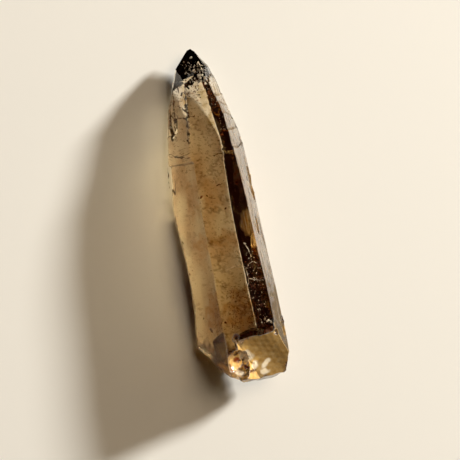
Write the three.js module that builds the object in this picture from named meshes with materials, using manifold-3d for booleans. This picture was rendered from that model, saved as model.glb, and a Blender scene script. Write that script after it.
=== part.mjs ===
// Smoky lemurian quartz point: a tapering six-sided crystal that lies on one of its prism faces.
// Millimetres.  +Y runs along the crystal to its tip, +X to its right, +Z up.  While it is shaped,
// y = 0 is the broken base and z = 0 the face it lies on; at the end it is centred over the origin.

import * as THREE from 'three';
import { mergeVertices } from 'three/addons/utils/BufferGeometryUtils.js';
import Module from 'manifold-3d';

const wasm = await Module();
wasm.setup();

// Cross-sections from the broken base to the tip.  topLeft and topRight bound the upper face, keelLeft
// and keelRight are the widest points of the two sides, and the faces between meet at 120 degrees.
const sections = [
  { y: -3, keelLeft: -10.9, topLeft: -4.7, topRight: 6.9, keelRight: 8.5, thickness: 14.0 },
  { y: 9, keelLeft: -10.9, topLeft: -4.6, topRight: 6.8, keelRight: 8.85, thickness: 13.9 },
  { y: 18, keelLeft: -9.9, topLeft: -4.3, topRight: 6.7, keelRight: 8.65, thickness: 13.7 },
  { y: 28, keelLeft: -9.65, topLeft: -4.2, topRight: 6.3, keelRight: 8.2, thickness: 13.3 },
  { y: 39, keelLeft: -10.25, topLeft: -4.15, topRight: 5.95, keelRight: 7.9, thickness: 12.9 },
  { y: 48, keelLeft: -9.1, topLeft: -3.85, topRight: 5.5, keelRight: 7.65, thickness: 12.2 },
  { y: 53, keelLeft: -8.5, topLeft: -3.55, topRight: 5.1, keelRight: 7.3, thickness: 11.35 },
  { y: 60, keelLeft: -7.0, topLeft: -2.6, topRight: 4.2, keelRight: 5.9, thickness: 10.1 },
  { y: 66, keelLeft: -5.5, topLeft: -2.0, topRight: 2.8, keelRight: 4.35, thickness: 9.15 },
  { y: 78, keelLeft: -2.6, topLeft: -0.8, topRight: 0.4, keelRight: 0.6, thickness: 7.3 },
];
const faceTilt = THREE.MathUtils.degToRad(60);    // side faces to the face below
const columnsPerFace = 4;

// Growth terraces: the striated faces narrow towards the tip in flat steps.
const stepWidth = 0.14;                           // run of one riser along the crystal
// share is the part of the taper taken by the risers; the treads' own slope takes the rest.
const terraces = [
  { face: 1, from: 42, to: 70, pitch: 3.6, share: 0.14, rough: 0.02, seed: 11 },
  { face: 3, from: 50, to: 64, pitch: 3.2, share: 0.06, rough: 0.01, seed: 23 },
  { face: 5, from: 47, to: 65, pitch: 2.9, share: 0.4, rough: 0.04, seed: 37 },
];
const overgrowth = { from: 49.7, lift: 0.42 };    // thin slab on the two left faces, up to the tip
const bottomRise = { from: 52, to: 78, height: 3.6, curve: 1.6 };    // the lowest face leaves the ground

// Pointed end: rhombohedral faces.  turn is the way each one faces, seen from the tip, lean is from the
// long axis to its normal, and setback is how far past the apex it passes.  Quartz's common
// rhombohedron leans 51.8 degrees and a steep one 62.3.
const apex = new THREE.Vector3(0, 74.5, 3.95);
const rhombs = [
  { turn: 90, lean: 51.8, setback: 0 },
  { turn: 30, lean: 51.8, setback: 0.25 },
  { turn: -30, lean: 51.8, setback: 0.5 },
  { turn: -90, lean: 62.3, setback: 0 },
  { turn: -150, lean: 62.3, setback: 0.38 },
  { turn: 112, lean: 51.8, setback: -0.35 },
];

// Ledges: shallow pointed steps sunk into part of a face.  size is across and along the face.
const ledges = [
  { face: 5, at: [-6.5, 60.4, 4.6], size: [3.6, 11], depth: 0.26, turn: -9 },
  { face: 5, at: [-9.3, 46.6, 3.4], size: [2.2, 6.6], depth: 0.2, turn: 3 },
  { face: 1, at: [7.0, 46, 9.6], size: [1.9, 15], depth: 0.16, turn: 1 },
  { face: 1, at: [6.4, 37, 11.2], size: [1.2, 12], depth: 0.1, turn: 2 },
  { face: 1, at: [8.3, 17, 10.6], size: [1.5, 18], depth: 0.12, turn: -2 },
  { face: 0, at: [-1.6, 65.4, 9.3], size: [3.0, 4.6], depth: 0.17, turn: 24 },
  { face: 0, at: [1.2, 66.0, 9.2], size: [2.2, 3.6], depth: 0.2, turn: -31 },
];

// Broken end: rough fracture faces that close the end and round its right corner.
const fractures = [
  { point: [3, -0.1, 0], normal: [0.03, -0.99, 0.08], strike: [-8, 6], ripple: 0.14, wave: 2.9 },
  { point: [7.2, 1.0, 8], normal: [0.62, -0.76, 0.18], strike: [4, 9], ripple: 0.08, wave: 2.2 },
  { point: [8.4, 3.7, 9], normal: [0.93, -0.34, 0.12], strike: [4, 9], ripple: 0.06, wave: 2.5 },
];

// Spalls: each took a piece down to a sloping floor, as far as a low wall.  The first is on top at the
// right, the second undercuts the end at the left, the third undercuts it at the right.
const spalls = [
  {
    floor: { point: [2.2, 10, 13.9], normal: [0.09, -0.45, 0.88], strike: [-9, 9], ripple: 0.07, wave: 2.6 },
    wall: { point: [-2.1, 9.9, 13.9], normal: [0.86, 0.1, 0.5], strike: [0, 12], ripple: 0.1, wave: 2.2 },
  },
  {
    floor: { point: [-9.5, 10.2, 0], normal: [-0.4, -0.84, -0.37], strike: [6, 8], ripple: 0.12, wave: 3.1 },
    wall: { point: [-0.6, 3, 5], normal: [-0.93, -0.2, -0.3], strike: [0, 9], ripple: 0.08, wave: 2.4 },
  },
  {
    floor: { point: [8.4, 5, 7.2], normal: [0.54, 0, -0.842], strike: [9, 9], ripple: 0.12, wave: 3.4 },
    wall: { point: [2.5, 10.9, 3], normal: [0.22, -0.96, -0.15], strike: [0, 9], ripple: 0.12, wave: 2.7 },
  },
];
const chip = { at: [-1.7, 4.6, 14.0], size: [3.2, 3.1, 2.7], ripple: 0.045, rates: [9, 7, 4] };

// Small breaks: where an edge is nicked, and how wide each nick is.
const nicks = [
  { at: [4.95, 63.6, 6.4], radius: 0.45 },
  { at: [6.3, 57.9, 7.5], radius: 0.4 },
  { at: [2.75, 66.9, 8.9], radius: 0.5 },
  { at: [-9.2, 49.6, 4.2], radius: 0.55 },
  { at: [-3.0, 58.0, 10.6], radius: 0.3 },
  { at: [6.75, 9.9, 13.5], radius: 0.55 },
  { at: [-2.2, 9.9, 13.7], radius: 0.6 },
  { at: [8.9, 4.1, 9.6], radius: 0.8 },
];

const faceAngles = [90, 30, -30, -90, -150, 150].map((angle) => THREE.MathUtils.degToRad(angle));

// Repeatable random numbers between 0 and 1.
function randomSource(seed) {
  const multiplier = 16807;
  const modulus = 2 ** 31 - 1;
  let state = seed;
  return () => {
    state = (state * multiplier) % modulus;
    return state / modulus;
  };
}

const sectionCurve = new THREE.CubicInterpolant(
  sections.map((section) => section.y),
  sections.flatMap((s) => [s.keelLeft, s.topLeft, s.topRight, s.keelRight, s.thickness]),
  5,
);

// Distance of each of the six faces from the line x = 0, z = 0, before the terraces.
function smoothOffsets(y) {
  const [keelLeft, topLeft, topRight, keelRight, thickness] = sectionCurve.evaluate(y);
  const sin = Math.sin(faceTilt);
  const cos = Math.cos(faceTilt);
  const rightKeelHeight = thickness - (keelRight - topRight) * Math.tan(faceTilt);
  const leftKeelHeight = thickness - (topLeft - keelLeft) * Math.tan(faceTilt);
  const riseShare = Math.max(0, (y - bottomRise.from) / (bottomRise.to - bottomRise.from));
  const rise = bottomRise.height * riseShare ** bottomRise.curve;
  return [
    thickness,
    topRight * sin + thickness * cos,
    keelRight * sin - rightKeelHeight * cos,
    -rise,
    -keelLeft * sin - leftKeelHeight * cos,
    -topLeft * sin + thickness * cos,
  ];
}

// One list of flat treads per striated face, each with its own start, end and small extra height.
function makeTreads({ from, to, pitch, share, rough, seed }) {
  const random = randomSource(seed);
  const shortest = 0.45;
  const spread = 1.1;
  const treads = [];
  let start = from;
  while (start < to) {
    const end = start + pitch * (shortest + spread * random());
    treads.push({ start, end, share, middle: (start + end) / 2, extra: rough * (2 * random() - 1) });
    start = end;
  }
  return treads;
}

const treadsByFace = new Map(terraces.map((terrace) => [terrace.face, makeTreads(terrace)]));

// Face distances at height y, with terraces and the overgrown slab.
function faceOffsets(y) {
  const offsets = smoothOffsets(y);
  for (const [face, treads] of treadsByFace) {
    const tread = treads.find(({ start, end }) => y >= start && y < end);
    if (tread) {
      const flat = smoothOffsets(tread.middle)[face];
      offsets[face] = THREE.MathUtils.lerp(offsets[face], flat, tread.share) + tread.extra;
    }
  }
  if (y > overgrowth.from) {
    offsets[4] += overgrowth.lift;
    offsets[5] += overgrowth.lift;
  }
  offsets[3] = Math.min(offsets[3], 0);
  return offsets;
}

// Corner between two faces whose outward directions and distances are known.
function corner(faceA, faceB, offsets) {
  const a = faceAngles[faceA];
  const b = faceAngles[faceB];
  const turn = Math.sin(b - a);
  return new THREE.Vector2(
    (offsets[faceA] * Math.sin(b) - offsets[faceB] * Math.sin(a)) / turn,
    (offsets[faceB] * Math.cos(a) - offsets[faceA] * Math.cos(b)) / turn,
  );
}

// The rings of the loft: an even spacing, and two rings close together at each riser.
function ringHeights() {
  const evenSpacing = 4;
  const smallestGap = 0.02;
  const risers = [overgrowth.from];
  for (const treads of treadsByFace.values()) {
    risers.push(...treads.map((tread) => tread.start));
  }
  const heights = risers.flatMap((y) => [y - stepWidth / 2, y + stepWidth / 2]);
  for (let y = sections[0].y; y <= sections.at(-1).y; y += evenSpacing) {
    if (risers.every((riser) => Math.abs(riser - y) > stepWidth)) {
      heights.push(y);
    }
  }
  heights.sort((low, high) => low - high);
  return heights.filter((y, i) => i === 0 || y - heights[i - 1] > smallestGap);
}

// Step lines wander a little as they run round the crystal.
function wander(y, angle) {
  const wide = { height: 0.3, turns: 3, drift: 0.5 };
  const fine = { height: 0.18, turns: 5, drift: -0.31 };
  const wideWave = wide.height * Math.sin(wide.turns * angle + wide.drift * y);
  const fineWave = fine.height * Math.sin(fine.turns * angle + fine.drift * y + 1);
  return wideWave + fineWave;
}

// The prism: a cylinder whose vertices are moved to the faces.
function makePrism() {
  const heights = ringHeights();
  const around = 6 * columnsPerFace;
  const geometry = new THREE.CylinderGeometry(1, 1, heights.length - 1, around, heights.length - 1);
  const position = geometry.attributes.position;
  const point = new THREE.Vector3();
  for (let i = 0; i < position.count; i += 1) {
    point.fromBufferAttribute(position, i);
    const ring = Math.round(point.y + (heights.length - 1) / 2);
    const y = heights[ring];
    const onAxis = Math.hypot(point.x, point.z) < 0.5;
    const turn = Math.atan2(point.x, point.z);
    const column = Math.round((turn / (2 * Math.PI)) * around + around) % around;
    const face = Math.floor(column / columnsPerFace);
    const share = (column % columnsPerFace) / columnsPerFace;
    const offsets = faceOffsets(y);
    const start = corner((face + 5) % 6, face, offsets);
    const end = corner(face, (face + 1) % 6, offsets);
    const spot = start.lerp(end, share);
    if (onAxis) {
      spot.set(0, offsets[0] / 2);
    }
    position.setXYZ(i, spot.x, y + wander(y, turn), spot.y);
  }
  return toSolid(geometry);
}

function toSolid(geometry) {
  geometry.deleteAttribute('normal');
  geometry.deleteAttribute('uv');
  const weldDistance = 1e-4;
  const merged = mergeVertices(geometry, weldDistance);
  return new wasm.Manifold(new wasm.Mesh({
    numProp: 3,
    vertProperties: new Float32Array(merged.attributes.position.array),
    triVerts: new Uint32Array(merged.index.array),
  }));
}

function toGeometry(solid) {
  const mesh = solid.getMesh();
  const geometry = new THREE.BufferGeometry();
  geometry.setAttribute('position', new THREE.BufferAttribute(mesh.vertProperties, 3));
  geometry.setIndex(new THREE.BufferAttribute(mesh.triVerts, 1));
  geometry.computeVertexNormals();
  return geometry;
}

// A block that cuts away all that lies past a plane; its cutting side may be shaped by relief(x, y).
function cutBlock(point, normal, relief, segments) {
  const side = 60;
  const geometry = new THREE.BoxGeometry(side, side, side, segments, segments, 1);
  const position = geometry.attributes.position;
  for (let i = 0; i < position.count; i += 1) {
    if (position.getZ(i) < 0) {
      const height = relief(position.getX(i), position.getY(i));
      position.setZ(i, position.getZ(i) + height);
    }
  }
  geometry.translate(0, 0, side / 2);
  const facing = new THREE.Quaternion().setFromUnitVectors(new THREE.Vector3(0, 0, 1), normal);
  geometry.applyQuaternion(facing);
  geometry.translate(point.x, point.y, point.z);
  return toSolid(geometry);
}

// Thin six-cornered slabs taken off the faces, long corners towards the two ends.
function cutLedges(solid) {
  const thick = 6;
  return ledges.reduce((body, { face, at, size, depth, turn }) => {
    const angle = faceAngles[face];
    const outward = new THREE.Vector3(Math.cos(angle), 0, Math.sin(angle));
    const geometry = new THREE.CylinderGeometry(0.5, 0.5, thick, 6);
    geometry.rotateX(Math.PI / 2);
    geometry.scale(size[0], size[1], 1);
    geometry.rotateZ(THREE.MathUtils.degToRad(turn));
    geometry.rotateY(Math.PI / 2 - angle);
    const surface = faceOffsets(at[1])[face];
    const centre = new THREE.Vector3(...at);
    const lift = surface - depth + thick / 2 - centre.dot(outward);
    centre.addScaledVector(outward, lift);
    geometry.translate(centre.x, centre.y, centre.z);
    return body.subtract(toSolid(geometry));
  }, solid);
}

function cutTermination(solid) {
  return rhombs.reduce((body, { turn, lean, setback }) => {
    const angle = THREE.MathUtils.degToRad(turn);
    const fromAxis = THREE.MathUtils.degToRad(lean);
    const across = Math.sin(fromAxis);
    const normal = new THREE.Vector3(across * Math.cos(angle), Math.cos(fromAxis), across * Math.sin(angle));
    const point = apex.clone().addScaledVector(normal, setback);
    return body.subtract(cutBlock(point, normal, () => 0, 1));
  }, solid);
}

// Conchoidal fracture: curved ripples that spread from the strike point and fade, on a gentle swell.
function fractureBlock({ point, normal, strike, ripple, wave }) {
  const fading = 0.05;
  const swell = { height: 0.2, acrossRate: 0.5, alongRate: 0.4 };
  const segments = 64;
  const relief = (x, y) => {
    const reach = Math.hypot(x - strike[0], y - strike[1]);
    const fade = 1 / (1 + fading * reach);
    const rippled = ripple * fade * Math.sin((2 * Math.PI * reach) / wave);
    return rippled + swell.height * Math.sin(swell.acrossRate * x + swell.alongRate * y);
  };
  const facing = new THREE.Vector3(...normal).normalize();
  return cutBlock(new THREE.Vector3(...point), facing, relief, segments);
}

function cutFractures(solid) {
  const spalled = spalls.reduce((body, { floor, wall }) => {
    const piece = fractureBlock(floor).intersect(fractureBlock(wall));
    return body.subtract(piece);
  }, solid);
  return fractures.reduce((body, fracture) => body.subtract(fractureBlock(fracture)), spalled);
}

function cutChip(solid) {
  const [rateX, rateY, rateZ] = chip.rates;
  const geometry = new THREE.SphereGeometry(1, 20, 14);
  const position = geometry.attributes.position;
  const point = new THREE.Vector3();
  for (let i = 0; i < position.count; i += 1) {
    point.fromBufferAttribute(position, i);
    const waves = Math.sin(rateX * point.x + rateZ * point.z) * Math.cos(rateY * point.y);
    const scale = 1 + chip.ripple * waves;
    position.setXYZ(i, point.x * scale, point.y * scale, point.z * scale);
  }
  geometry.scale(...chip.size);
  geometry.translate(...chip.at);
  return solid.subtract(toSolid(geometry));
}

function cutNicks(solid) {
  const stretch = 1.4;
  return nicks.reduce((body, { at, radius }) => {
    const geometry = new THREE.IcosahedronGeometry(radius, 1);
    geometry.scale(1, stretch, 1);
    geometry.translate(...at);
    return body.subtract(toSolid(geometry));
  }, solid);
}

function smokyQuartz() {
  return new THREE.MeshStandardMaterial({ color: 0x9a7442, roughness: 0.08, metalness: 0 });
}

function makeCrystal() {
  const prism = makePrism();
  const pointed = cutTermination(prism);
  const stepped = cutLedges(pointed);
  const broken = cutChip(cutFractures(stepped));
  const geometry = toGeometry(cutNicks(broken));
  geometry.computeBoundingBox();
  const middle = geometry.boundingBox.getCenter(new THREE.Vector3());
  geometry.translate(-middle.x, -middle.y, -geometry.boundingBox.min.z);
  const mesh = new THREE.Mesh(geometry, smokyQuartz());
  mesh.name = 'crystal';
  return mesh;
}

const object = new THREE.Group();
object.add(makeCrystal());

export default object;
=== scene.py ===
import math
import random
import bpy
import bmesh
from mathutils import Matrix, Vector, noise
from mathutils.bvhtree import BVHTree


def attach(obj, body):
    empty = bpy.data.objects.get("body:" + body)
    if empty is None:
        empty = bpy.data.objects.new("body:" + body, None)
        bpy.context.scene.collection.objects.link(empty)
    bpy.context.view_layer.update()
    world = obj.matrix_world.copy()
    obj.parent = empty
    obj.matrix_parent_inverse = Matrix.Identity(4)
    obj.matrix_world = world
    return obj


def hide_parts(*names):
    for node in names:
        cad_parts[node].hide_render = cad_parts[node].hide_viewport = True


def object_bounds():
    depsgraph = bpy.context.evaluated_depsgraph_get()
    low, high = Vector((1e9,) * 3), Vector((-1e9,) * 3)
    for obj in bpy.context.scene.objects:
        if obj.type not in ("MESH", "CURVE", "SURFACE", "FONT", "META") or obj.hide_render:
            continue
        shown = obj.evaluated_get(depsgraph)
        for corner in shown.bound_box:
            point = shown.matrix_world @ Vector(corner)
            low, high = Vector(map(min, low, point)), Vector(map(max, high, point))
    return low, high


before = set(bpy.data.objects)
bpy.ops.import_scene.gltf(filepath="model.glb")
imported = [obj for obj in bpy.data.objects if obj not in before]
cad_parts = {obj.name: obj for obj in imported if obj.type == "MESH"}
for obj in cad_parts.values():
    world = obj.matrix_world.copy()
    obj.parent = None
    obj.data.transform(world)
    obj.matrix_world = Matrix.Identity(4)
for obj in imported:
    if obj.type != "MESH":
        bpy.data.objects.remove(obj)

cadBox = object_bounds()
mm = 0.001


def say(stage):
    print("stage:", stage)


def hexToLinear(code):
    parts = [int(code[i:i + 2], 16) / 255 for i in (1, 3, 5)]
    linear = [c / 12.92 if c <= 0.04045 else ((c + 0.055) / 1.055) ** 2.4 for c in parts]
    return (*linear, 1)


def addNode(tree, kind, settings=None, links=None):
    node = tree.nodes.new(kind)
    for key, value in (settings or {}).items():
        if isinstance(key, str) and hasattr(node, key) and key not in node.inputs:
            setattr(node, key, value)
        else:
            node.inputs[key].default_value = value
    for key, source in (links or {}).items():
        tree.links.new(source, node.inputs[key])
    return node


# sockets of a colour Mix node, which share their names with its other sockets
mixFirst = 6
mixSecond = 7
mixResult = 2


# two colours in patches: how many patches to the mm, and where the second colour begins and is full
def addMottle(tree, place, settings):
    patchy = addNode(tree, "ShaderNodeTexNoise", {
        "Scale": settings["mottle"] / mm, "Detail": settings["detail"]}, {"Vector": place})
    begins, full = settings["spread"]
    spread = addNode(tree, "ShaderNodeMapRange", {"From Min": begins, "From Max": full},
                     {"Value": patchy.outputs["Fac"]})
    first = hexToLinear(settings["first"])
    second = hexToLinear(settings["second"])
    colour = addNode(tree, "ShaderNodeMix", {"data_type": "RGBA", mixFirst: first, mixSecond: second},
                     {"Factor": spread.outputs["Result"]})
    return colour.outputs[mixResult]


def smoothStep(low, high, value):
    share = min(1.0, max(0.0, (value - low) / (high - low)))
    return share * share * (3 - 2 * share)


# Perlin noise with one feature size in mm for each axis
def waves(p, sizeX, sizeY, sizeZ, shift=0.0):
    return noise.noise(Vector((p.x / sizeX + shift, p.y / sizeY + shift, p.z / sizeZ + shift)))


# the crystal: its fine mesh, the relief of its faces and what covers them
crystal = {
    "cell": 0.23,              # mm, size of the fine mesh
    "sharpAngle": 26,          # degrees
    "gridDepth": 9,            # its grid has 2 to this power of cells
    # layers of relief: size and height in mm, and shift in the noise
    "swell": (7.5, 0.03, 0),   # every face
    "hillocks": (1.9, 0.007, 5),
    "ladder": (0.8, 0.013, 2),     # lines across the striated faces
    "ladderStretch": 9,
    "grooves": (0.7, 0.012, 9),    # lines along the upper right face
    "grooveStretch": 16,
    "brokenWaves": (1.3, 0.04, 7),
    "brokenGrain": (0.45, 0.015, 3),
    "faceTurn": 60,            # degrees from one prism face to the next
    "endsAt": -25,             # mm, the broken end lies beyond
    "mostTurn": 9,             # degrees that a grown face may be turned there
    "wallAt": 6,               # mm, the wall of the break on top lies left of this
    "endSlope": 0.3,           # a face that looks this much along the crystal belongs to an end
    "weld": 0.002,             # mm
    # films on the surface: iron oxide and dust, and films of painted shade and painted highlights
    "films": {
        "amber": "#c79546",
        "brown": "#6b4a22",
        "olive": "#4d3a1c",
        "rust": "#7a2a0a",
        "umberShade": "#3d1a05",
        "darkRust": "#451204",
        "gold": "#dcb36a",
        "highlightCream": "#fff1d4",
        "dustAndShade": "#75613f",
        "khakiShade": "#b59a66",
        "shade": "#6b4206",
        "tan": "#b08f58",
    },
    # how such an area fades out, in shares of its reach, and how unevenly its film lies
    "edge": {
        "widest": 1.4,             # nothing of it is left beyond
        "ragged": 0.45,            # how far its outline wanders
        "raggedSize": (1.6, 0.6),  # size of that in mm, and in shares of the reach where it is small
        "fade": (0.55, 1.0),       # from full to nothing
        "filmShare": 0.85,
        "filmSwing": 0.5,
        "filmSize": 1.1,           # mm
        "shift": 1,                # of its relief in the noise
    },
    # etched, bruised or stained areas and areas of painted shade and highlight: middle and reach across,
    # along
    # and through in mm, then what they do: relief size and height, how far it calms the relief there, matt
    # share, film and how thick it is, the share of light it stops, and the one face that it is kept to
    "patches": [
        {"at": (1.1, 12.3, 12.3), "reach": (5.2, 5.4, 2), "size": 0.55, "height": 0.035, "frost": 0.1},
        {"at": (1.4, 25.0, 10.8), "reach": (3.4, 3.6, 3), "size": 0.5, "height": 0.025, "only": 0},
        {"at": (1.6, 31.4, 8.5), "reach": (2.3, 2.2, 3), "size": 0.7, "height": 0.08},
        {"at": (5.5, -19.0, 6.0), "reach": (3.0, 9.0, 6), "size": 0.7, "height": 0.03},
        {"at": (5.6, 24.0, 8.0), "reach": (1.6, 8.0, 4), "size": 0.6, "height": 0.03},
        {"at": (-8.0, 16.5, 4.0), "reach": (3.5, 9.0, 6), "size": 0.8, "height": 0.03, "frost": 0.05},
        # stain where the dark right side is interrupted
        {"at": (5.5, -2.5, 5.0), "reach": (3.0, 3.9, 5), "size": 0.9, "height": 0.03, "frost": 0.9,
         "film": "amber", "stain": 0.9, "dull": 0.25},
        # painted shade on the lower left and lower right faces, to keep the dark band dark, and a rust
        # stain
        {"at": (-9.0, -13.0, 3.5), "reach": (5, 22, 8), "calm": 0.35, "film": "umberShade", "stain": 1.0,
         "dull": 0.85, "only": 4},
        {"at": (6.5, 7.0, 6), "reach": (3, 5.5, 5), "frost": 0.2, "film": "rust", "stain": 1.0,
         "dull": 0.4, "only": 2},
        {"at": (6.0, -20.0, 5), "reach": (7, 12, 9), "calm": 0.5, "film": "umberShade", "stain": 1.0,
         "dull": 0.7, "only": 2},
        # clouds on the lowest face
        {"at": (0.5, 4.5, 0), "reach": (3.5, 5.0, 2), "film": "amber", "stain": 0.5, "dull": 0},
        {"at": (-5.0, -5.0, 0), "reach": (5.5, 2.4, 2), "film": "olive", "stain": 0.3, "dull": 0},
        {"at": (1.5, -6.0, 0), "reach": (4.0, 3.0, 2), "film": "amber", "stain": 0.6, "dull": 0},
        {"at": (-3.5, 9.0, 0), "reach": (3.0, 4.0, 2), "film": "brown", "stain": 0.2, "dull": 0},
        # painted shade: a khaki film on the lowest face that dims the lit floor seen through it under the
        # raised tip
        {"at": (3.6, 22.0, 2), "reach": (2.4, 11.0, 5), "turn": 13, "film": "khakiShade", "stain": 0.9,
         "dull": 0, "only": 3},
        {"at": (-1.5, 27.0, 9), "reach": (4.5, 5.5, 7), "film": "olive", "stain": 0.12, "dull": 0.0},
        {"at": (-2.9, 25.9, 9), "reach": (1.3, 1.3, 5), "film": "gold", "stain": 0.8, "dull": 0.1},
        {"at": (1.5, -21.0, 0), "reach": (4.5, 5.5, 2), "film": "amber", "stain": 0.8, "dull": 0},
        # broken end: left undercut, right side, chip, and their rims
        # painted shade: a dark film on the left undercut and on the faces above it
        {"at": (-7.5, -31.5, 2.5), "reach": (9.5, 8.0, 8), "calm": 0.8, "frost": 0.1, "film": "shade",
         "stain": 1.0, "dull": 0.9, "only": "broken"},
        {"at": (-6.5, -31.4, 5.0), "reach": (7.5, 6.0, 12), "film": "shade", "stain": 0.85, "dull": 0.35},
        {"at": (4.6, -31.0, 13.0), "reach": (9.0, 10.0, 11), "calm": 0.85, "frost": 0.4, "film": "tan",
         "stain": 1.0, "dull": 0.85, "only": "broken"},
        # painted shade: a dark film on the lowest broken faces
        {"at": (3.5, -31.0, 0.5), "reach": (10.0, 10.0, 8.5), "calm": 0.6, "frost": 0.1, "film": "shade",
         "stain": 1.0, "dull": 0.8, "only": "broken"},
        {"at": (2.4, -26.4, 6.0), "reach": (6.5, 1.9, 9.5), "calm": 0.35, "film": "darkRust",
         "stain": 1.0, "dull": 0.85, "only": "broken"},
        # painted shade: the dust film lies thick at the lower end of the upper right face, darkening it
        {"at": (8.5, -30.0, 8.0), "reach": (4.0, 20.0, 9), "calm": 0.9, "frost": 0.2, "film": "dustAndShade",
         "stain": 0.9, "dull": 0.3, "only": 1},
        # the chip: a gold stain laid pale and thick, partly its own stain and partly painted light for the
        # glow through it
        {"at": (-1.1, -32.6, 10.0), "reach": (4.6, 4.9, 9), "size": 0.55, "height": 0.13, "frost": 0.8,
         "film": "gold", "stain": 1.0, "dull": 0.75, "only": "broken"},
        {"at": (-1.9, -31.5, 11.0), "reach": (1.0, 0.8, 3), "film": "rust", "stain": 0.9, "dull": 0.6},
        {"at": (-0.8, -26.4, 12.5), "reach": (1.0, 0.9, 3), "film": "darkRust", "stain": 1.0,
         "dull": 0.7},
        {"at": (-3.3, -32.9, 10.5), "reach": (0.5, 1.6, 4), "turn": 15, "film": "rust", "stain": 0.8,
         "dull": 0.6},
        {"at": (-0.2, -33.3, 10.5), "reach": (1.4, 0.4, 4), "turn": -30, "film": "darkRust",
         "stain": 0.9, "dull": 0.7},
        {"at": (1.0, -34.6, 10.5), "reach": (1.2, 0.35, 4), "turn": 20, "film": "darkRust", "stain": 0.9,
         "dull": 0.7},
        {"at": (-1.2, -29.9, 10.5), "reach": (1.4, 0.4, 4), "turn": 35, "film": "darkRust", "stain": 0.9,
         "dull": 0.7},
        # painted highlights: cream patches on the chip and the break where light flashed off them
        {"at": (0.4, -30.9, 10.5), "reach": (1.9, 1.5, 4), "turn": -40, "frost": 0.95, "film": "highlightCream",
         "stain": 1.0, "dull": 0.35},
        {"at": (-1.6, -34.6, 10.5), "reach": (1.6, 0.7, 4), "turn": -25, "film": "highlightCream", "stain": 0.8,
         "dull": 0.8},
        {"at": (1.9, -33.1, 10), "reach": (0.7, 1.3, 5), "turn": -20, "film": "highlightCream", "stain": 1.0,
         "dull": 0.9},
        {"at": (4.5, -33.3, 9), "reach": (0.6, 1.9, 5), "turn": -50, "film": "highlightCream", "stain": 1.0,
         "dull": 0.9},
        {"at": (3.8, -35.2, 9), "reach": (1.2, 0.8, 5), "film": "highlightCream", "stain": 1.0, "dull": 0.8},
        {"at": (-2.6, 27.0, 9.5), "reach": (1.2, 1.9, 2), "film": "rust", "stain": 0.3, "dull": 0.1},
    ],
    # what covers the faces before the patches do: shares of film, of etching and of light stopped, with the
    # sizes of their noise in mm and its shift, and the noise values where each begins and is full
    "coats": {
        "scales": {"size": (1.7, 1.1), "bend": (0.35, 0.9), "rim": (0.05, 0.3),
                   "noise": (2.6, 2.2, 2.6, 21), "shown": (-0.05, 0.35)},
        "break": {"film": (0.6, 0.3), "frost": 0.5, "dull": (0.2, 0.25),
                  "noise": (2.4, 2.4, 2.4, 11), "shown": (-0.4, 0.4)},
        "top": {"rims": 0.7, "film": 0.6, "noise": (0.45, 0.45, 0.45, 41), "shown": (0.25, 0.45),
                "frost": 0.15, "frostNoise": (0.7, 0.7, 0.7, 31), "frostShown": (0.25, 0.5)},
        "upperRight": {"film": 0.3, "noise": (0.5, 9, 0.5, 8), "shown": (0.1, 0.45),
                       "frost": (0.4, 0.6), "frostAlong": (-32, -8), "polished": 0.35},
        "bottom": {"cloud": 0.35, "cloudNoise": (4.5, 6, 4.5, 14), "cloudShown": (-0.35, 0.5),
                   # an amber film on the lowest face that thickens toward the tip: painted shade over the
                   # floor lit under the raised tip
                   "amberShade": 0.2, "amberShadeAlong": (2, 12),
                   "film": 0.3, "noise": (0.9, 0.6, 0.9, 6), "shown": (0.05, 0.4)},
        "left": {"film": 0.45, "noise": (2.5, 0.5, 2.5, 19), "shown": (0.15, 0.4),
                 "wideNoise": (3, 4, 3, 2), "wideShown": (-0.1, 0.4),
                 "frost": 0.04, "frostNoise": (2, 4, 2, 4)},
    },
}


def fineMesh(source):
    bm = bmesh.new()
    bm.from_mesh(source.data)
    bmesh.ops.remove_doubles(bm, verts=bm.verts, dist=crystal["weld"] * mm)
    coarse = bpy.data.meshes.new("coarse")
    bm.to_mesh(coarse)
    bm.free()
    carrier = bpy.data.objects.new("carrier", coarse)
    bpy.context.scene.collection.objects.link(carrier)
    remesh = carrier.modifiers.new("grid", "REMESH")
    remesh.mode = "SHARP"
    remesh.octree_depth = crystal["gridDepth"]
    remesh.sharpness = 1.0
    remesh.use_remove_disconnected = False
    length = cadBox[1][1] - cadBox[0][1]
    remesh.scale = length / (2 ** remesh.octree_depth * crystal["cell"] * mm)
    graph = bpy.context.evaluated_depsgraph_get()
    graph.update()
    fine = bpy.data.meshes.new_from_object(carrier.evaluated_get(graph))
    bpy.data.objects.remove(carrier)
    bpy.data.meshes.remove(coarse)
    return fine


# 0 to 5 for the prism faces, clockwise from the upper one as seen from the base, "tip" or "broken"
def faceKind(p, normal):
    if normal.y > crystal["endSlope"]:
        return "tip"
    turns = math.degrees(math.atan2(normal.x, normal.z)) / crystal["faceTurn"]
    turned = abs(turns - round(turns)) * crystal["faceTurn"] > crystal["mostTurn"]
    wall = round(turns) == 1 and p.x < crystal["wallAt"]
    if normal.y < -crystal["endSlope"] or (p.y < crystal["endsAt"] and (turned or wall)):
        return "broken"
    return round(turns) % 6


def patchWeight(p, patch):
    edge = crystal["edge"]
    reach = patch["reach"]
    away = p - Vector(patch["at"])
    if "turn" in patch:
        away.rotate(Matrix.Rotation(math.radians(-patch["turn"]), 3, "Z"))
    far = math.sqrt(sum((away[i] / reach[i]) ** 2 for i in range(3)))
    if far > edge["widest"]:
        return 0.0
    largest, share = edge["raggedSize"]
    size = min(largest, share * max(reach[0], reach[1]))
    ragged = far + edge["ragged"] * noise.noise(p / size)
    return 1 - smoothStep(*edge["fade"], ragged)


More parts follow.
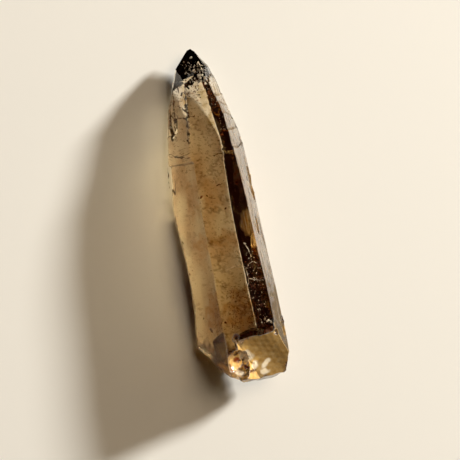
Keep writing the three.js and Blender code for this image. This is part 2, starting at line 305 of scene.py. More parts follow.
# thin dark rims between growth scales, broken up so that only stretches of them show
def scaleRims(p):
    scales = crystal["coats"]["scales"]
    across, along = scales["size"]
    bend, bendSize = scales["bend"]
    bent = Vector((p.x / across, p.y / along, p.z / across)) + bend * noise.noise_vector(p / bendSize)
    distances = noise.voronoi(bent)[0]
    rim = 1 - smoothStep(*scales["rim"], distances[1] - distances[0])
    return rim * smoothStep(*scales["shown"], waves(p, *scales["noise"]))


class Paint:
    def __init__(self):
        self.tint = Vector((1, 1, 1))
        self.frost = 0.0
        self.dull = 0.0

    def addFilm(self, name, share):
        colour = Vector(hexToLinear(crystal["films"][name])[:3])
        self.tint = self.tint.lerp(colour, min(1, max(0, share)))


def paintBroken(paint, p):
    coat = crystal["coats"]["break"]
    thick = smoothStep(*coat["shown"], waves(p, *coat["noise"]))
    paint.addFilm("brown", coat["film"][0] + coat["film"][1] * thick)
    paint.frost = coat["frost"]
    paint.dull = coat["dull"][0] + coat["dull"][1] * thick


def paintTop(paint, p):
    coat = crystal["coats"]["top"]
    paint.addFilm("brown", coat["rims"] * scaleRims(p))
    paint.addFilm("brown", coat["film"] * smoothStep(*coat["shown"], waves(p, *coat["noise"])))
    paint.frost = coat["frost"] * smoothStep(*coat["frostShown"], waves(p, *coat["frostNoise"]))


def paintUpperRight(paint, p):
    coat = crystal["coats"]["upperRight"]
    lines = smoothStep(*coat["shown"], waves(p, *coat["noise"]))
    etched = coat["frost"][0] + coat["frost"][1] * smoothStep(*coat["frostAlong"], p.y)
    paint.frost = etched * (1 - coat["polished"] * lines)
    paint.addFilm("dustAndShade", coat["film"] * lines)


def paintBottom(paint, p):
    coat = crystal["coats"]["bottom"]
    cloud = smoothStep(*coat["cloudShown"], waves(p, *coat["cloudNoise"]))
    flecks = smoothStep(*coat["shown"], waves(p, *coat["noise"]))
    # the cloud is a tint of the stone; the film that thickens toward the tip is painted shade
    paint.addFilm("amber", coat["cloud"] * cloud + coat["amberShade"] * smoothStep(*coat["amberShadeAlong"], p.y))
    paint.addFilm("brown", coat["film"] * flecks * cloud)


def paintLeft(paint, p):
    coat = crystal["coats"]["left"]
    lines = smoothStep(*coat["shown"], waves(p, *coat["noise"]))
    wide = smoothStep(*coat["wideShown"], waves(p, *coat["wideNoise"]))
    paint.addFilm("brown", coat["film"] * lines * wide)
    paint.frost = coat["frost"] * (1 + waves(p, *coat["frostNoise"]))


# the coat of each kind of face; the lower right face and the tip have none
painters = {
    "broken": paintBroken,
    0: paintTop,
    1: paintUpperRight,
    3: paintBottom,
    4: paintLeft,
    5: paintLeft,
}


# height of one layer of relief, which may be drawn out across or along the crystal
def layerAt(p, name, wide=1, long=1):
    size, height, shift = crystal[name]
    return height * waves(p, wide * size, long * size, wide * size, shift)


def reliefAt(p, kind):
    lift = layerAt(p, "swell")
    if kind == "broken":
        return lift + layerAt(p, "brokenWaves") + layerAt(p, "brokenGrain")
    lift += layerAt(p, "hillocks")
    if kind in (1, 3, 5):
        lift += layerAt(p, "ladder", wide=crystal["ladderStretch"])
    if kind == 1:
        lift += layerAt(p, "grooves", long=crystal["grooveStretch"])
    return lift


# how thick a patch's film lies at a place
def filmShare(p, patch, weight):
    edge = crystal["edge"]
    swing = edge["filmSwing"] * (patch.get("calm", 0) + noise.noise(p / edge["filmSize"]))
    return min(1, weight * patch["stain"] * (edge["filmShare"] + swing))


def surfaceAt(p, normal):
    kind = faceKind(p, normal)
    lift = reliefAt(p, kind)
    paint = Paint()
    if kind in painters:
        painters[kind](paint, p)
    for patch in crystal["patches"]:
        weight = patchWeight(p, patch) if patch.get("only", kind) == kind else 0
        if weight > 0:
            size = patch.get("size", 1)
            lift *= 1 - weight * patch.get("calm", 0)
            lift += weight * patch.get("height", 0) * waves(p, size, size, size, crystal["edge"]["shift"])
            paint.frost = max(paint.frost, weight * patch.get("frost", 0))
            if "film" in patch:
                share = filmShare(p, patch, weight)
                paint.addFilm(patch["film"], share * (1 + patch["dull"] * (1 - share)))
                paint.dull += (patch["dull"] - paint.dull) * share * share
    return lift, paint


def shapeSurface(mesh):
    frost = mesh.attributes.new("frost", "FLOAT", "POINT")
    dull = mesh.attributes.new("dull", "FLOAT", "POINT")
    tint = mesh.attributes.new("tint", "FLOAT_COLOR", "POINT")
    normals = [vertex.normal.copy() for vertex in mesh.vertices]
    for vertex, normal in zip(mesh.vertices, normals):
        lift, paint = surfaceAt(vertex.co / mm, normal)
        vertex.co += normal * (lift * mm)
        frost.data[vertex.index].value = paint.frost
        dull.data[vertex.index].value = paint.dull
        tint.data[vertex.index].color = (*paint.tint, 1)


# the crystal's material
quartz = {
    "ior": 1.544,
    "polish": 0.015,           # roughness of the glossy faces
    "frostRoughness": 0.36,    # roughness where the surface is etched matt
    "frostWhite": 0.12,        # share of the light that the etching scatters
    "grain": 2.6,              # grains of the etching per mm, coarser than real so that they show
    "grainDetail": 2.0,
    "grainStretch": 0.1,       # share of that along the crystal, where they are drawn out
    "grainFull": 0.6,          # grain times matt share at which the surface is at its roughest
    "grainDepth": 0.012,       # mm
    "blotch": 0.9,             # thick and thin places of the films per mm
    "blotchDetail": 3.0,
    "blotchFrom": (0.3, 0.7),
    "blotchTo": (0.85, 1.2),
    "smokeDensity": 47,        # per metre
    "smokeColour": "#f7d300",
}


# Smoky quartz, grown and then lightly etched: glassy faces, brown by absorption, with one long face etched
# to a pale satin that catches the light, and films of iron oxide in the stained and broken places; some
# films are painted shade and painted highlights.
def makeQuartz():
    material = bpy.data.materials.new("smokyQuartz")
    material.use_nodes = True
    tree = material.node_tree
    tree.nodes.clear()
    place = addNode(tree, "ShaderNodeTexCoord").outputs["Object"]
    frost = addNode(tree, "ShaderNodeAttribute", {"attribute_name": "frost"}).outputs["Fac"]
    dull = addNode(tree, "ShaderNodeAttribute", {"attribute_name": "dull"}).outputs["Fac"]
    tint = addNode(tree, "ShaderNodeAttribute", {"attribute_name": "tint"}).outputs["Color"]
    drawn = addNode(tree, "ShaderNodeVectorMath", {
        "operation": "MULTIPLY", 1: (1, quartz["grainStretch"], 1)}, {0: place})
    grain = addNode(tree, "ShaderNodeTexNoise", {
        "Scale": quartz["grain"] / mm, "Detail": quartz["grainDetail"]},
        {"Vector": drawn.outputs["Vector"]})
    blotch = addNode(tree, "ShaderNodeTexNoise", {
        "Scale": quartz["blotch"] / mm, "Detail": quartz["blotchDetail"]}, {"Vector": place})
    thick = addNode(tree, "ShaderNodeMapRange", {
        "From Min": quartz["blotchFrom"][0], "From Max": quartz["blotchFrom"][1],
        "To Min": quartz["blotchTo"][0], "To Max": quartz["blotchTo"][1]}, {"Value": blotch.outputs["Fac"]})
    film = addNode(tree, "ShaderNodeGamma", {}, {"Color": tint, "Gamma": thick.outputs["Result"]})
    uneven = addNode(tree, "ShaderNodeMath", {"operation": "MULTIPLY"}, {0: grain.outputs["Fac"], 1: frost})
    rough = addNode(tree, "ShaderNodeMapRange", {
        "From Max": quartz["grainFull"], "To Min": quartz["polish"], "To Max": quartz["frostRoughness"]},
        {"Value": uneven.outputs["Value"]})
    milky = addNode(tree, "ShaderNodeMath", {"operation": "MULTIPLY"}, {0: frost, 1: frost})
    white = addNode(tree, "ShaderNodeMath", {"operation": "MULTIPLY_ADD", 1: quartz["frostWhite"]},
                    {0: milky.outputs[0], 2: dull})
    clear = addNode(tree, "ShaderNodeMath", {"operation": "SUBTRACT", "use_clamp": True, 0: 1.0},
                    {1: white.outputs[0]})
    bump = addNode(tree, "ShaderNodeBump", {"Distance": quartz["grainDepth"] * mm}, {
        "Strength": frost, "Height": grain.outputs["Fac"]})
    surface = addNode(tree, "ShaderNodeBsdfPrincipled", {"IOR": quartz["ior"]}, {
        "Base Color": film.outputs["Color"], "Roughness": rough.outputs["Result"],
        "Transmission Weight": clear.outputs[0], "Normal": bump.outputs["Normal"]})
    smoke = addNode(tree, "ShaderNodeVolumeAbsorption", {
        "Color": hexToLinear(quartz["smokeColour"]), "Density": quartz["smokeDensity"]})
    out = addNode(tree, "ShaderNodeOutputMaterial")
    tree.links.new(surface.outputs["BSDF"], out.inputs["Surface"])
    tree.links.new(smoke.outputs["Volume"], out.inputs["Volume"])
    return material


def placePiece(name, mesh, material):
    mesh.materials.clear()
    mesh.materials.append(material)
    piece = bpy.data.objects.new(name, mesh)
    bpy.context.scene.collection.objects.link(piece)
    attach(piece, "root")
    return piece


def makeCrystal():
    mesh = fineMesh(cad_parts["crystal"])
    mesh.name = "crystalMesh"
    shapeSurface(mesh)
    mesh.polygons.foreach_set("use_smooth", [True] * len(mesh.polygons))
    mesh.set_sharp_from_angle(angle=math.radians(crystal["sharpAngle"]))
    piece = placePiece("smokyPoint", mesh, makeQuartz())
    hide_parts("crystal")
    print("crystal faces", len(mesh.polygons))
    return piece


point = makeCrystal()
say("crystal")

# darker zone that grew inside the tip
phantom = {
    "edge": (0, 31.0, 8.5),        # mm, where the dark zone begins
    "facing": (0.18, -1, 0.25),    # outward from the zone
    "inset": 0.45,                 # mm below the faces
    "ragged": 0.7,                 # mm, how far its edge wanders
    "raggedSize": 1.2,
    "density": 500,                # per metre
    "colour": "#a07c61",
    "first": "#140c07",            # nearly black smoke
    "second": "#6a4f2c",           # clearer brown
    "mottle": 0.7,                 # patches per mm
    "detail": 3.0,
    "spread": (0.5, 0.8),
}


# The same quartz, radiation-darkened in the last growth zone until it lets hardly any light through. It
# has no surface of its own, so light goes into it unbent, and only the smoke inside shows, in patches.
def makeDarkZone():
    material = bpy.data.materials.new("darkSmokyZone")
    material.use_nodes = True
    tree = material.node_tree
    surface = tree.nodes["Principled BSDF"]
    surface.inputs["Transmission Weight"].default_value = 1.0
    surface.inputs["IOR"].default_value = 1.0
    surface.inputs["Roughness"].default_value = 0.0
    place = addNode(tree, "ShaderNodeTexCoord").outputs["Object"]
    tree.links.new(addMottle(tree, place, phantom), surface.inputs["Base Color"])
    smoke = addNode(tree, "ShaderNodeVolumeAbsorption", {
        "Color": hexToLinear(phantom["colour"]), "Density": phantom["density"]})
    tree.links.new(smoke.outputs["Volume"], tree.nodes["Material Output"].inputs["Volume"])
    return material


def makePhantom():
    bm = bmesh.new()
    bm.from_mesh(point.data)
    edge = Vector(phantom["edge"]) * mm
    facing = Vector(phantom["facing"]).normalized()
    everything = bm.verts[:] + bm.edges[:] + bm.faces[:]
    cut = bmesh.ops.bisect_plane(bm, geom=everything, plane_co=edge, plane_no=facing, clear_outer=True)
    rim = [item for item in cut["geom_cut"] if isinstance(item, bmesh.types.BMEdge)]
    for vertex in {vertex for side in rim for vertex in side.verts}:
        vertex.co.y -= phantom["ragged"] * mm * abs(noise.noise(vertex.co / (phantom["raggedSize"] * mm)))
    bmesh.ops.triangle_fill(bm, edges=rim, use_beauty=True)
    bmesh.ops.recalc_face_normals(bm, faces=bm.faces)
    bm.normal_update()
    inward = [vertex.normal * (-phantom["inset"] * mm) for vertex in bm.verts]
    for vertex, move in zip(bm.verts, inward):
        vertex.co += move
    mesh = bpy.data.meshes.new("darkTipMesh")
    bm.to_mesh(mesh)
    bm.free()
    placePiece("darkTip", mesh, makeDarkZone())
    print("dark tip faces", len(mesh.polygons))


makePhantom()
say("dark tip")

# what the flakes and sheets inside the crystal share
inclusion = {
    "skin": 0.35,              # mm kept clear under the faces
    "flakeFineness": 2,        # subdivisions of a single flake
    "zoneFineness": 1,         # and of a scattered one
    "flakeTilt": 0.9,          # radians
    "flakeCrooked": 0.25,      # share of a flake's width
    "flakeSizes": (0.5, 1.3),  # a zone's flakes, as shares of its size
    "flakeSlim": (0.4, 0.9),
    "flakeThick": 0.4,         # share of its width
    "sheetStep": 0.25,         # mm between the points along a sheet
    "sheetSteps": 6,           # and at least this many steps
    "sheetRows": 3,
    "sheetShift": 50,          # each sheet has its own shift in the noise, up to this
    "sheetThick": 0.05,        # mm
    "sheetWobble": 0.15,       # mm
    "sheetZ": 5,               # mm, where a sheet runs out of the crystal
    "sheetDepth": 0.02,        # share of the way down where its upper edge lies
    "wobbleSize": 0.5,         # mm along the sheet, as the sizes below
    # how it narrows toward its ends and here and there
    "taper": 0.4,
    "taperSize": 0.45,
    "taperSwing": (0.7, 1.6),
    "taperShift": 8,
    "taperLeast": 0.05,
    # how uneven its lower edge is
    "dropSize": 0.4,
    "dropSwing": 0.5,
    "dropShift": 3,
}
tiny = 1e-6                    # mm
outside = 1                    # m, well above or below the crystal
corners = [vertex.co for vertex in point.data.vertices]
crystalTree = BVHTree.FromPolygons(corners, [face.vertices for face in point.data.polygons])


# height in mm at a share of the way down through the crystal, clear of both surfaces, or None outside it
def insideZ(x, y, depth, skin):
    down = crystalTree.ray_cast(Vector((x * mm, y * mm, outside)), Vector((0, 0, -1)))[0]
    up = crystalTree.ray_cast(Vector((x * mm, y * mm, -outside)), Vector((0, 0, 1)))[0]
    if down is None or up is None:
        return None
    high = down.z / mm - skin
    low = up.z / mm + skin
    if high < low:
        return None
    return high - depth * (high - low)


# one thin crooked flake
def addFlake(bm, at, size, source, fineness, swing=math.pi):
    turn = Matrix.Rotation(source.uniform(-swing, swing), 4, "Z")
    lean = inclusion["flakeTilt"]
    tilt = Matrix.Rotation(source.uniform(-lean, lean), 4, "X")
    scale = Matrix.Diagonal((size[0], size[1], size[2], 1))
    spot = Matrix.Translation(Vector(at) * mm) @ turn @ tilt @ Matrix.Scale(0.5 * mm, 4) @ scale
    made = bmesh.ops.create_icosphere(bm, subdivisions=fineness, radius=1, matrix=spot)
    crooked = inclusion["flakeCrooked"] * min(size[0], size[1]) * mm
    for vertex in made["verts"]:
        vertex.co.x += crooked * source.uniform(-0.5, 0.5)
        vertex.co.y += crooked * source.uniform(-0.5, 0.5)


# flakes scattered in a box-shaped zone
def scatterFlakes(bm, zone, source):
    for _ in range(zone["count"]):
        x = zone["at"][0] + zone["reach"][0] * source.uniform(-1, 1)
        y = zone["at"][1] + zone["reach"][1] * source.uniform(-1, 1)
        depth = source.uniform(*zone["depth"])
        z = insideZ(x, y, depth, zone.get("skin", inclusion["skin"]))
        if z is None:
            continue
        size = zone["size"] * source.uniform(*inclusion["flakeSizes"])
        slim = zone.get("slim", 1) * source.uniform(*inclusion["flakeSlim"])
        sizes = (size, size * slim, size * slim * inclusion["flakeThick"])
        addFlake(bm, (x, y, z), sizes, source, inclusion["zoneFineness"], zone.get("swing", math.pi))


# the spot at a distance along a line of points
def spotAlong(points, lengths, along):
    index = max(i for i in range(len(points) - 1) if lengths[i] <= along + tiny)
    share = (along - lengths[index]) / (lengths[index + 1] - lengths[index])
    return points[index].lerp(points[index + 1], share)


# a thin crooked sheet that hangs from a line just under the upper surface
def addSheet(bm, sheet, source):
    points = [Vector((*p, 0)) for p in sheet["line"]]
    lengths = [0.0]
    for a, b in zip(points, points[1:]):
        lengths.append(lengths[-1] + (b - a).length)
    steps = max(inclusion["sheetSteps"], int(lengths[-1] / inclusion["sheetStep"]))
    made = bmesh.ops.create_grid(bm, x_segments=steps, y_segments=inclusion["sheetRows"], size=0.5)
    shift = source.uniform(0, inclusion["sheetShift"])
    wobble = sheet.get("wobble", inclusion["sheetWobble"])
    middle, swing = inclusion["taperSwing"]
    for vertex in made["verts"]:
        along = (vertex.co.x + 0.5) * lengths[-1]
        down = 0.5 - vertex.co.y
        spot = spotAlong(points, lengths, along)
        spot.x += wobble * noise.noise(Vector((along / inclusion["wobbleSize"], shift, down)))
        spot.y += wobble * noise.noise(Vector((along / inclusion["wobbleSize"], down, shift)))
        taper = math.sin(math.pi * min(1, max(0, along / lengths[-1]))) ** inclusion["taper"]
        wave = noise.noise(Vector((along / inclusion["taperSize"], shift, inclusion["taperShift"])))
        taper *= max(inclusion["taperLeast"], middle + swing * wave)
        spot.x += sheet["lean"][0] * down * taper
        spot.y += sheet["lean"][1] * down * taper
        z = insideZ(spot.x, spot.y, inclusion["sheetDepth"], inclusion["skin"])
        if z is None:
            z = inclusion["sheetZ"]
        wave = noise.noise(Vector((along / inclusion["dropSize"], shift, inclusion["dropShift"])))
        drop = sheet["drop"] * down * taper * (1 + inclusion["dropSwing"] * wave)
        vertex.co = Vector((spot.x, spot.y, z - drop)) * mm
    bm.faces.index_update()
    touched = {face for vertex in made["verts"] for face in vertex.link_faces}
    faces = sorted(touched, key=lambda face: face.index)
    bmesh.ops.solidify(bm, geom=faces, thickness=sheet.get("thick", inclusion["sheetThick"]) * mm)


# single flakes, scattered ones and sheets, all in one piece
def makeInclusions(name, settings, material):
    source = random.Random(settings["seed"])
    bm = bmesh.new()
    for (x, y), size, depth in settings["flakes"]:
        z = insideZ(x, y, depth, settings.get("skin", inclusion["skin"]))
        if z is not None:
            addFlake(bm, (x, y, z), size, source, inclusion["flakeFineness"])
    for zone in settings["zones"]:
        scatterFlakes(bm, zone, source)
    for sheet in settings["sheets"]:
        addSheet(bm, sheet, source)
    bmesh.ops.recalc_face_normals(bm, faces=bm.faces)
    mesh = bpy.data.meshes.new(name + "Mesh")
    bm.to_mesh(mesh)
    bm.free()
    mesh.polygons.foreach_set("use_smooth", [True] * len(mesh.polygons))
    placePiece(name, mesh, material)


# iron oxide in the cracks
iron = {
    "seed": 41,
    "first": "#1c0803",            # goethite, nearly black
    "second": "#7a3a12",           # rusty hematite
    "mottle": 0.9,                 # patches per mm
    "detail": 3.0,
    "spread": (0.4, 0.75),
    "roughness": 0.75,
    # single flakes: place, then size across, along and thick
    "flakes": [
        ((-5.5, -24.3), (1.7, 0.9, 0.3), 0.15), ((-2.6, -23.1), (0.6, 0.6, 0.2), 0.1),
        ((-2.9, 28.7), (1.5, 0.7, 0.2), 0.1), ((-2.3, 27.6), (0.6, 1.0, 0.2), 0.1),
        ((1.5, 6.6), (1.0, 0.35, 0.15), 0.05), ((-2.6, 4.7), (0.4, 0.8, 0.15), 0.05),
        ((-1.3, 4.7), (0.5, 0.4, 0.15), 0.05), ((2.1, 1.3), (0.6, 0.4, 0.15), 0.05),
        ((-8.4, -4.3), (0.7, 0.4, 0.15), 0.05), ((-8.2, -11.3), (0.6, 0.4, 0.15), 0.05),
        ((-7.0, -21.4), (0.5, 0.4, 0.15), 0.05), ((-1.0, -26.8), (0.9, 1.0, 0.3), 0.1),
        ((-0.3, -30.6), (1.0, 0.8, 0.3), 0.3),
    ],
    "zones": [
        {"at": (1.9, -20.4), "reach": (3.4, 5.0), "depth": (0.0, 0.95), "size": 0.26, "count": 330},
        {"at": (5.6, -18.0), "reach": (1.6, 7.5), "depth": (0.0, 0.3), "size": 0.38, "count": 260},
        {"at": (-3.0, -23.0), "reach": (4.0, 2.4), "depth": (0.0, 0.4), "size": 0.2, "count": 90},
        {"at": (-6.4, -24.6), "reach": (2.6, 0.9), "depth": (0.0, 0.1), "size": 0.2, "count": 40},
        {"at": (-1.5, 28.2), "reach": (3.0, 2.2), "depth": (0.0, 0.9), "size": 0.34, "count": 110},
        {"at": (-0.5, 4.0), "reach": (7.0, 9.0), "depth": (0.0, 0.95), "size": 0.22, "count": 90},
        {"at": (-0.5, 20.0), "reach": (5.0, 9.0), "depth": (0.0, 0.95), "size": 0.22, "count": 110},
        {"at": (-0.5, -10.0), "reach": (7.0, 7.0), "depth": (0.0, 0.95), "size": 0.2, "count": 90},
        # short cracks across the left half
        {"at": (-6.0, 19.0), "reach": (2.6, 8.5), "depth": (0, 0.1), "size": 1.1, "slim": 0.14,
         "swing": 0.5, "count": 70},
        {"at": (-1.0, 14.0), "reach": (5.0, 12.0), "depth": (0, 0.4), "size": 0.8, "slim": 0.15,
         "swing": 0.4, "count": 70},
        {"at": (-4.0, -8.0), "reach": (5.0, 12.0), "depth": (0, 0.2), "size": 0.7, "slim": 0.15,
         "swing": 0.4, "count": 40},
    ],
    "sheets": [
        {"line": [(-8.2, 15.2), (-7.3, 15.3), (-6.1, 14.3), (-4.3, 14.4), (-3.0, 14.6)],
         "lean": (0.1, -0.25), "drop": 0.35},
        {"line": [(1.0, 13.0), (2.6, 13.3), (4.0, 13.3)], "lean": (0, -0.2), "drop": 0.25},
        {"line": [(-4.6, 22.7), (-3.2, 22.4), (-1.4, 22.4), (-0.6, 22.5)], "lean": (0.1, -0.4), "drop": 0.5,
         "thick": 0.14, "wobble": 0.3},
        {"line": [(-1.2, 29.9), (-1.4, 27.4), (-1.8, 24.1), (-2.2, 20.8), (-2.9, 16.6)], "lean": (-0.35, 0),
         "drop": 0.6, "thick": 0.12, "wobble": 0.4},
        {"line": [(-3.9, 25.4), (-2.9, 24.7), (-2.1, 23.9)], "lean": (0.1, -0.35), "drop": 0.4,
         "thick": 0.14, "wobble": 0.3},
        {"line": [(-6.0, 24.0), (-5.5, 23.1), (-4.8, 22.4)], "lean": (0.3, 0), "drop": 0.4, "thick": 0.12,
         "wobble": 0.3},
        {"line": [(-4.4, 27.6), (-4.7, 24.8), (-5.2, 21.1), (-5.6, 17.9)], "lean": (0.2, 0), "drop": 0.4,
         "thick": 0.06, "wobble": 0.4},
        {"line": [(-5.0, 27.1), (-5.6, 25.0), (-6.3, 21.4)], "lean": (0.2, 0), "drop": 0.3, "thick": 0.08,
         "wobble": 0.3},
        {"line": [(-7.8, 14.9), (-5.7, 14.2), (-3.2, 13.6)], "lean": (0.1, -0.3), "drop": 0.4, "thick": 0.1,
         "wobble": 0.35},
        {"line": [(-6.5, 22.7), (-4.9, 24.2)], "lean": (0.15, -0.15), "drop": 0.3},
        {"line": [(-8.6, 12.5), (-8.9, 10.2), (-9.1, 8.0)], "lean": (0.1, 0), "drop": 0.2},
        {"line": [(-4.4, -20.6), (-4.6, -22.7)], "lean": (0.15, 0), "drop": 0.3},
        {"line": [(7.9, 9.4), (7.7, 6.8), (7.7, 3.6), (8.0, 1.2)], "lean": (0.12, 0), "drop": 0.2},
    ],
}


# Goethite and hematite that settled in cracks: dull rusty brown to nearly black, never shiny.
def makeIronOxide():
    material = bpy.data.materials.new("ironOxide")
    material.use_nodes = True
    tree = material.node_tree
    surface = tree.nodes["Principled BSDF"]
    place = addNode(tree, "ShaderNodeTexCoord").outputs["Object"]
    tree.links.new(addMottle(tree, place, iron), surface.inputs["Base Color"])
    surface.inputs["Roughness"].default_value = iron["roughness"]
    return material


makeInclusions("ironFlakes", iron, makeIronOxide())
say("iron oxide")

# healed cracks, and milky flakes placed where glints showed: painted highlights
veil = {
    "seed": 17,
    "first": "#f6ecd8",            # milky
    "second": "#e2b569",           # stained pale gold
    "mottle": 0.6,                 # patches per mm
    "detail": 2.0,
    "spread": (0.48, 0.8),
    "roughness": 0.5,
    "skin": 0.2,                   # mm, the single flakes lie this close under the face
    # single flakes placed where glints showed at the tip, in the dark band and on the chip: painted glints
    "flakes": [
        ((1.0, 35.0), (0.7, 0.9, 0.2), 0.1), ((2.3, 33.7), (0.5, 0.5, 0.2), 0.1),
        ((0.3, 32.7), (0.5, 0.4, 0.2), 0.1), ((1.3, 32.8), (0.5, 0.4, 0.2), 0.1),
        ((1.2, 32.0), (1.0, 0.9, 0.25), 0.1), ((-0.7, 31.7), (0.6, 0.5, 0.2), 0.1),
        ((0.0, 31.2), (0.5, 0.4, 0.2), 0.1), ((1.3, 31.5), (0.6, 0.5, 0.2), 0.1),
        ((2.0, 30.8), (1.1, 0.8, 0.25), 0.08), ((2.1, 30.3), (0.6, 0.6, 0.2), 0.1),
        ((2.7, 30.8), (0.5, 0.6, 0.2), 0.1), ((3.1, 30.2), (0.5, 0.5, 0.2), 0.1),
        ((3.0, 28.9), (0.5, 0.6, 0.2), 0.1), ((4.7, -7.0), (0.6, 0.5, 0.2), 0.05),
        ((-2.9, 3.4), (0.4, 0.6, 0.2), 0.05), ((-1.0, -28.1), (0.7, 0.7, 0.2), 0.1),
        ((6.5, -24.4), (0.9, 0.5, 0.2), 0.05), ((7.1, -24.8), (0.8, 0.5, 0.2), 0.05),
        ((5.9, -23.9), (0.7, 0.5, 0.2), 0.05), ((0.7, -30.9), (1.6, 1.2, 0.4), 0.1),
        ((1.9, -33.0), (0.9, 2.0, 0.4), 0.1), ((4.5, -33.3), (0.8, 2.1, 0.4), 0.1),
        ((3.5, -35.0), (1.2, 0.9, 0.4), 0.1),
    ],
    "zones": [
        {"at": (2.6, -19.5), "reach": (3.4, 4.2), "depth": (0.0, 0.4), "size": 0.2, "count": 60},
        {"at": (5.8, -17.0), "reach": (1.3, 8.0), "depth": (0.0, 0.2), "size": 0.26, "count": 60},
        # painted glints: flakes just under the faces of the tip
        {"at": (1.2, 31.6), "reach": (1.9, 1.9), "depth": (0.0, 0.03), "size": 0.34, "count": 46,
         "skin": 0.2},
        {"at": (0.3, 33.2), "reach": (1.8, 1.8), "depth": (0.0, 0.03), "size": 0.26, "count": 26,
         "skin": 0.2},
        {"at": (2.9, 30.4), "reach": (0.8, 2.6), "depth": (0.0, 0.05), "size": 0.3, "count": 30,
         "skin": 0.2},
        {"at": (3.6, 27.0), "reach": (0.9, 3.5), "depth": (0.0, 0.2), "size": 0.28, "slim": 0.4,
         "count": 30, "skin": 0.2},
        {"at": (5.4, 24.0), "reach": (1.2, 6.0), "depth": (0.0, 0.3), "size": 0.24, "count": 34},
        {"at": (1.6, -12.0), "reach": (3.0, 2.0), "depth": (0.0, 0.2), "size": 0.22, "count": 24},
    ],
    "sheets": [
        {"line": [(4.7, -7.1), (5.2, -8.2), (5.5, -9.6), (5.5, -10.9)], "lean": (0.12, 0), "drop": 0.3},
        {"line": [(3.9, -12.5), (4.7, -11.6), (5.7, -11.2), (6.5, -11.7)], "lean": (0, 0.15), "drop": 0.3},
        {"line": [(3.9, -12.5), (4.1, -14.7), (5.8, -15.3), (7.3, -15.6)],
         "lean": (0.1, 0.15), "drop": 0.3},
        {"line": [(4.1, -14.7), (3.5, -16.4)], "lean": (0.15, 0), "drop": 0.3},
        {"line": [(-0.3, -12.0), (1.5, -11.5), (3.1, -11.5), (4.0, -12.1)], "lean": (0, 0.1), "drop": 0.2},
        {"line": [(2.3, 33.7), (2.7, 32.6), (2.9, 31.2)], "lean": (0.2, 0), "drop": 0.3},
    ],
}


# Healed cracks: sheets of tiny bubbles that scatter the light, milky white to pale gold. The same milky
# flakes also stand for glints of light at the tip, in the dark band and on the chip, as painted highlights.
def makeMilkyVeil():
    material = bpy.data.materials.new("milkyVeil")
    material.use_nodes = True
    tree = material.node_tree
    surface = tree.nodes["Principled BSDF"]
    place = addNode(tree, "ShaderNodeTexCoord").outputs["Object"]
    tree.links.new(addMottle(tree, place, veil), surface.inputs["Base Color"])
    surface.inputs["Roughness"].default_value = veil["roughness"]
    return material


makeInclusions("healedCracksAndGlints", veil, makeMilkyVeil())
say("healed cracks")

# floor, light and camera: sizes and distances in metres, and the directions that the light travels in
studio = {
    "floorColour": "#f0efea",
    "floorSize": 1.6,
    "floorDrop": 0.05 * mm,    # keeps it clear of the resting face
    "lamps": {
        "key": {"energy": 51.5, "size": 0.24, "distance": 1.6, "colour": "#fffcf5",
                "travel": (-0.877, -0.327, -0.342)},
        "softBox": {"energy": 7.9, "size": 0.82, "distance": 1.6, "colour": "#ffe6c6",
                    "travel": (-0.44, -0.22, -0.87)},
    },
    # a pale wall on the right, a dim red-brown one on the left, and a faint lift below the horizon
    "glows": [
        {"toward": (0.85, 0.35, 0.38), "edge": 0.6, "full": 1.0, "colour": "#a8967a"},
        {"toward": (-0.87, 0.05, 0.5), "edge": 0.5, "full": 0.97, "colour": "#160402"},
        {"toward": (0, 0, -1), "edge": -0.8, "full": 0.2, "colour": "#0d0806"},
    ],
    "cameraDistance": 1.2,
    "frameWidth": 100.45 * mm,
    "aim": (2.17 * mm, -3.5 * mm, 8 * mm),
    "nearest": 0.01,
    "roll": -11,               # degrees
    "bounces": 40,             # a ray crosses the crystal many times before it leaves
    "glossyBounces": 16,
    "diffuseBounces": 4,
}


# Matt off-white board: it takes a soft shadow and gives no shine.
def makeFloor():
    bm = bmesh.new()
    bmesh.ops.create_grid(bm, x_segments=1, y_segments=1, size=studio["floorSize"])
    mesh = bpy.data.meshes.new("floorMesh")
    bm.to_mesh(mesh)
    bm.free()
    material = bpy.data.materials.new("paleFloor")
    material.use_nodes = True
    shader = material.node_tree.nodes["Principled BSDF"]
    shader.inputs["Base Color"].default_value = hexToLinear(studio["floorColour"])
    shader.inputs["Roughness"].default_value = 1.0
    shader.inputs["Specular IOR Level"].default_value = 0.0
    mesh.materials.append(material)
    floor = bpy.data.objects.new("floor", mesh)
    floor.location.z = -studio["floorDrop"]
    bpy.context.scene.collection.objects.link(floor)


def addLamp(name, settings):
    data = bpy.data.lights.new(name, "AREA")
    data.shape = "DISK"
    data.size = settings["size"]
    data.energy = settings["energy"]
    data.color = hexToLinear(settings["colour"])[:3]
    lamp = bpy.data.objects.new(name, data)
    travel = Vector(settings["travel"]).normalized()
    lamp.location = -travel * settings["distance"]
    lamp.rotation_euler = travel.to_track_quat("-Z", "Y").to_euler()
    bpy.context.scene.collection.objects.link(lamp)


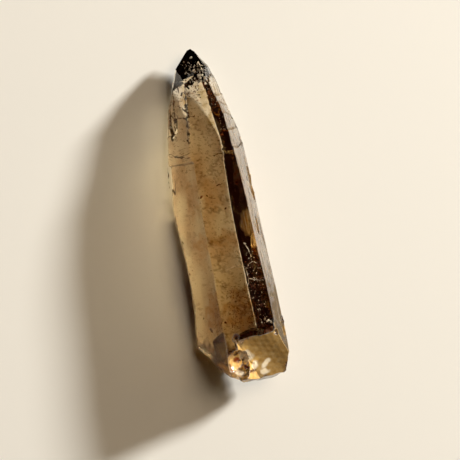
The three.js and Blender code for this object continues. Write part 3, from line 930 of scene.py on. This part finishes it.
# a glow on the room's wall: how bright it is falls off away from one direction
def addGlow(tree, look, glow):
    side = addNode(tree, "ShaderNodeVectorMath", {"operation": "DOT_PRODUCT"}, {0: look})
    side.inputs[1].default_value = Vector(glow["toward"]).normalized()
    shade = addNode(tree, "ShaderNodeMapRange", {
        "interpolation_type": "SMOOTHSTEP", "From Min": glow["edge"], "From Max": glow["full"]},
        {"Value": side.outputs["Value"]})
    tint = addNode(tree, "ShaderNodeVectorMath", {"operation": "SCALE"}, {"Scale": shade.outputs["Result"]})
    tint.inputs[0].default_value = hexToLinear(glow["colour"])[:3]
    return tint.outputs["Vector"]


def makeRoom():
    world = bpy.data.worlds.new("room")
    world.use_nodes = True
    tree = world.node_tree
    tree.nodes.clear()
    look = addNode(tree, "ShaderNodeTexCoord").outputs["Generated"]
    parts = [addGlow(tree, look, glow) for glow in studio["glows"]]
    total = parts[0]
    for part in parts[1:]:
        both = addNode(tree, "ShaderNodeVectorMath", {"operation": "ADD"}, {0: total, 1: part})
        total = both.outputs["Vector"]
    back = addNode(tree, "ShaderNodeBackground", {"Strength": 1.0}, {"Color": total})
    out = addNode(tree, "ShaderNodeOutputWorld")
    tree.links.new(back.outputs["Background"], out.inputs["Surface"])
    bpy.context.scene.world = world


def makeCamera():
    data = bpy.data.cameras.new("camera")
    data.angle = 2 * math.atan(studio["frameWidth"] / 2 / studio["cameraDistance"])
    data.clip_start = studio["nearest"]
    camera = bpy.data.objects.new("camera", data)
    aim = Vector(studio["aim"])
    camera.location = aim + Vector((0, 0, studio["cameraDistance"]))
    camera.rotation_euler = (0, 0, math.radians(studio["roll"]))
    bpy.context.scene.collection.objects.link(camera)
    bpy.context.scene.camera = camera


makeFloor()
for lampName, lampSettings in studio["lamps"].items():
    addLamp(lampName, lampSettings)
makeRoom()
makeCamera()
scene = bpy.context.scene
scene.view_settings.view_transform = "Standard"
scene.cycles.max_bounces = studio["bounces"]
scene.cycles.transmission_bounces = studio["bounces"]
scene.cycles.glossy_bounces = studio["glossyBounces"]
scene.cycles.diffuse_bounces = studio["diffuseBounces"]
scene.cycles.use_denoising = True
scene.cycles.use_guiding = True
scene.cycles.use_adaptive_sampling = False
scene.cycles.sample_clamp_indirect = 0
say("studio")
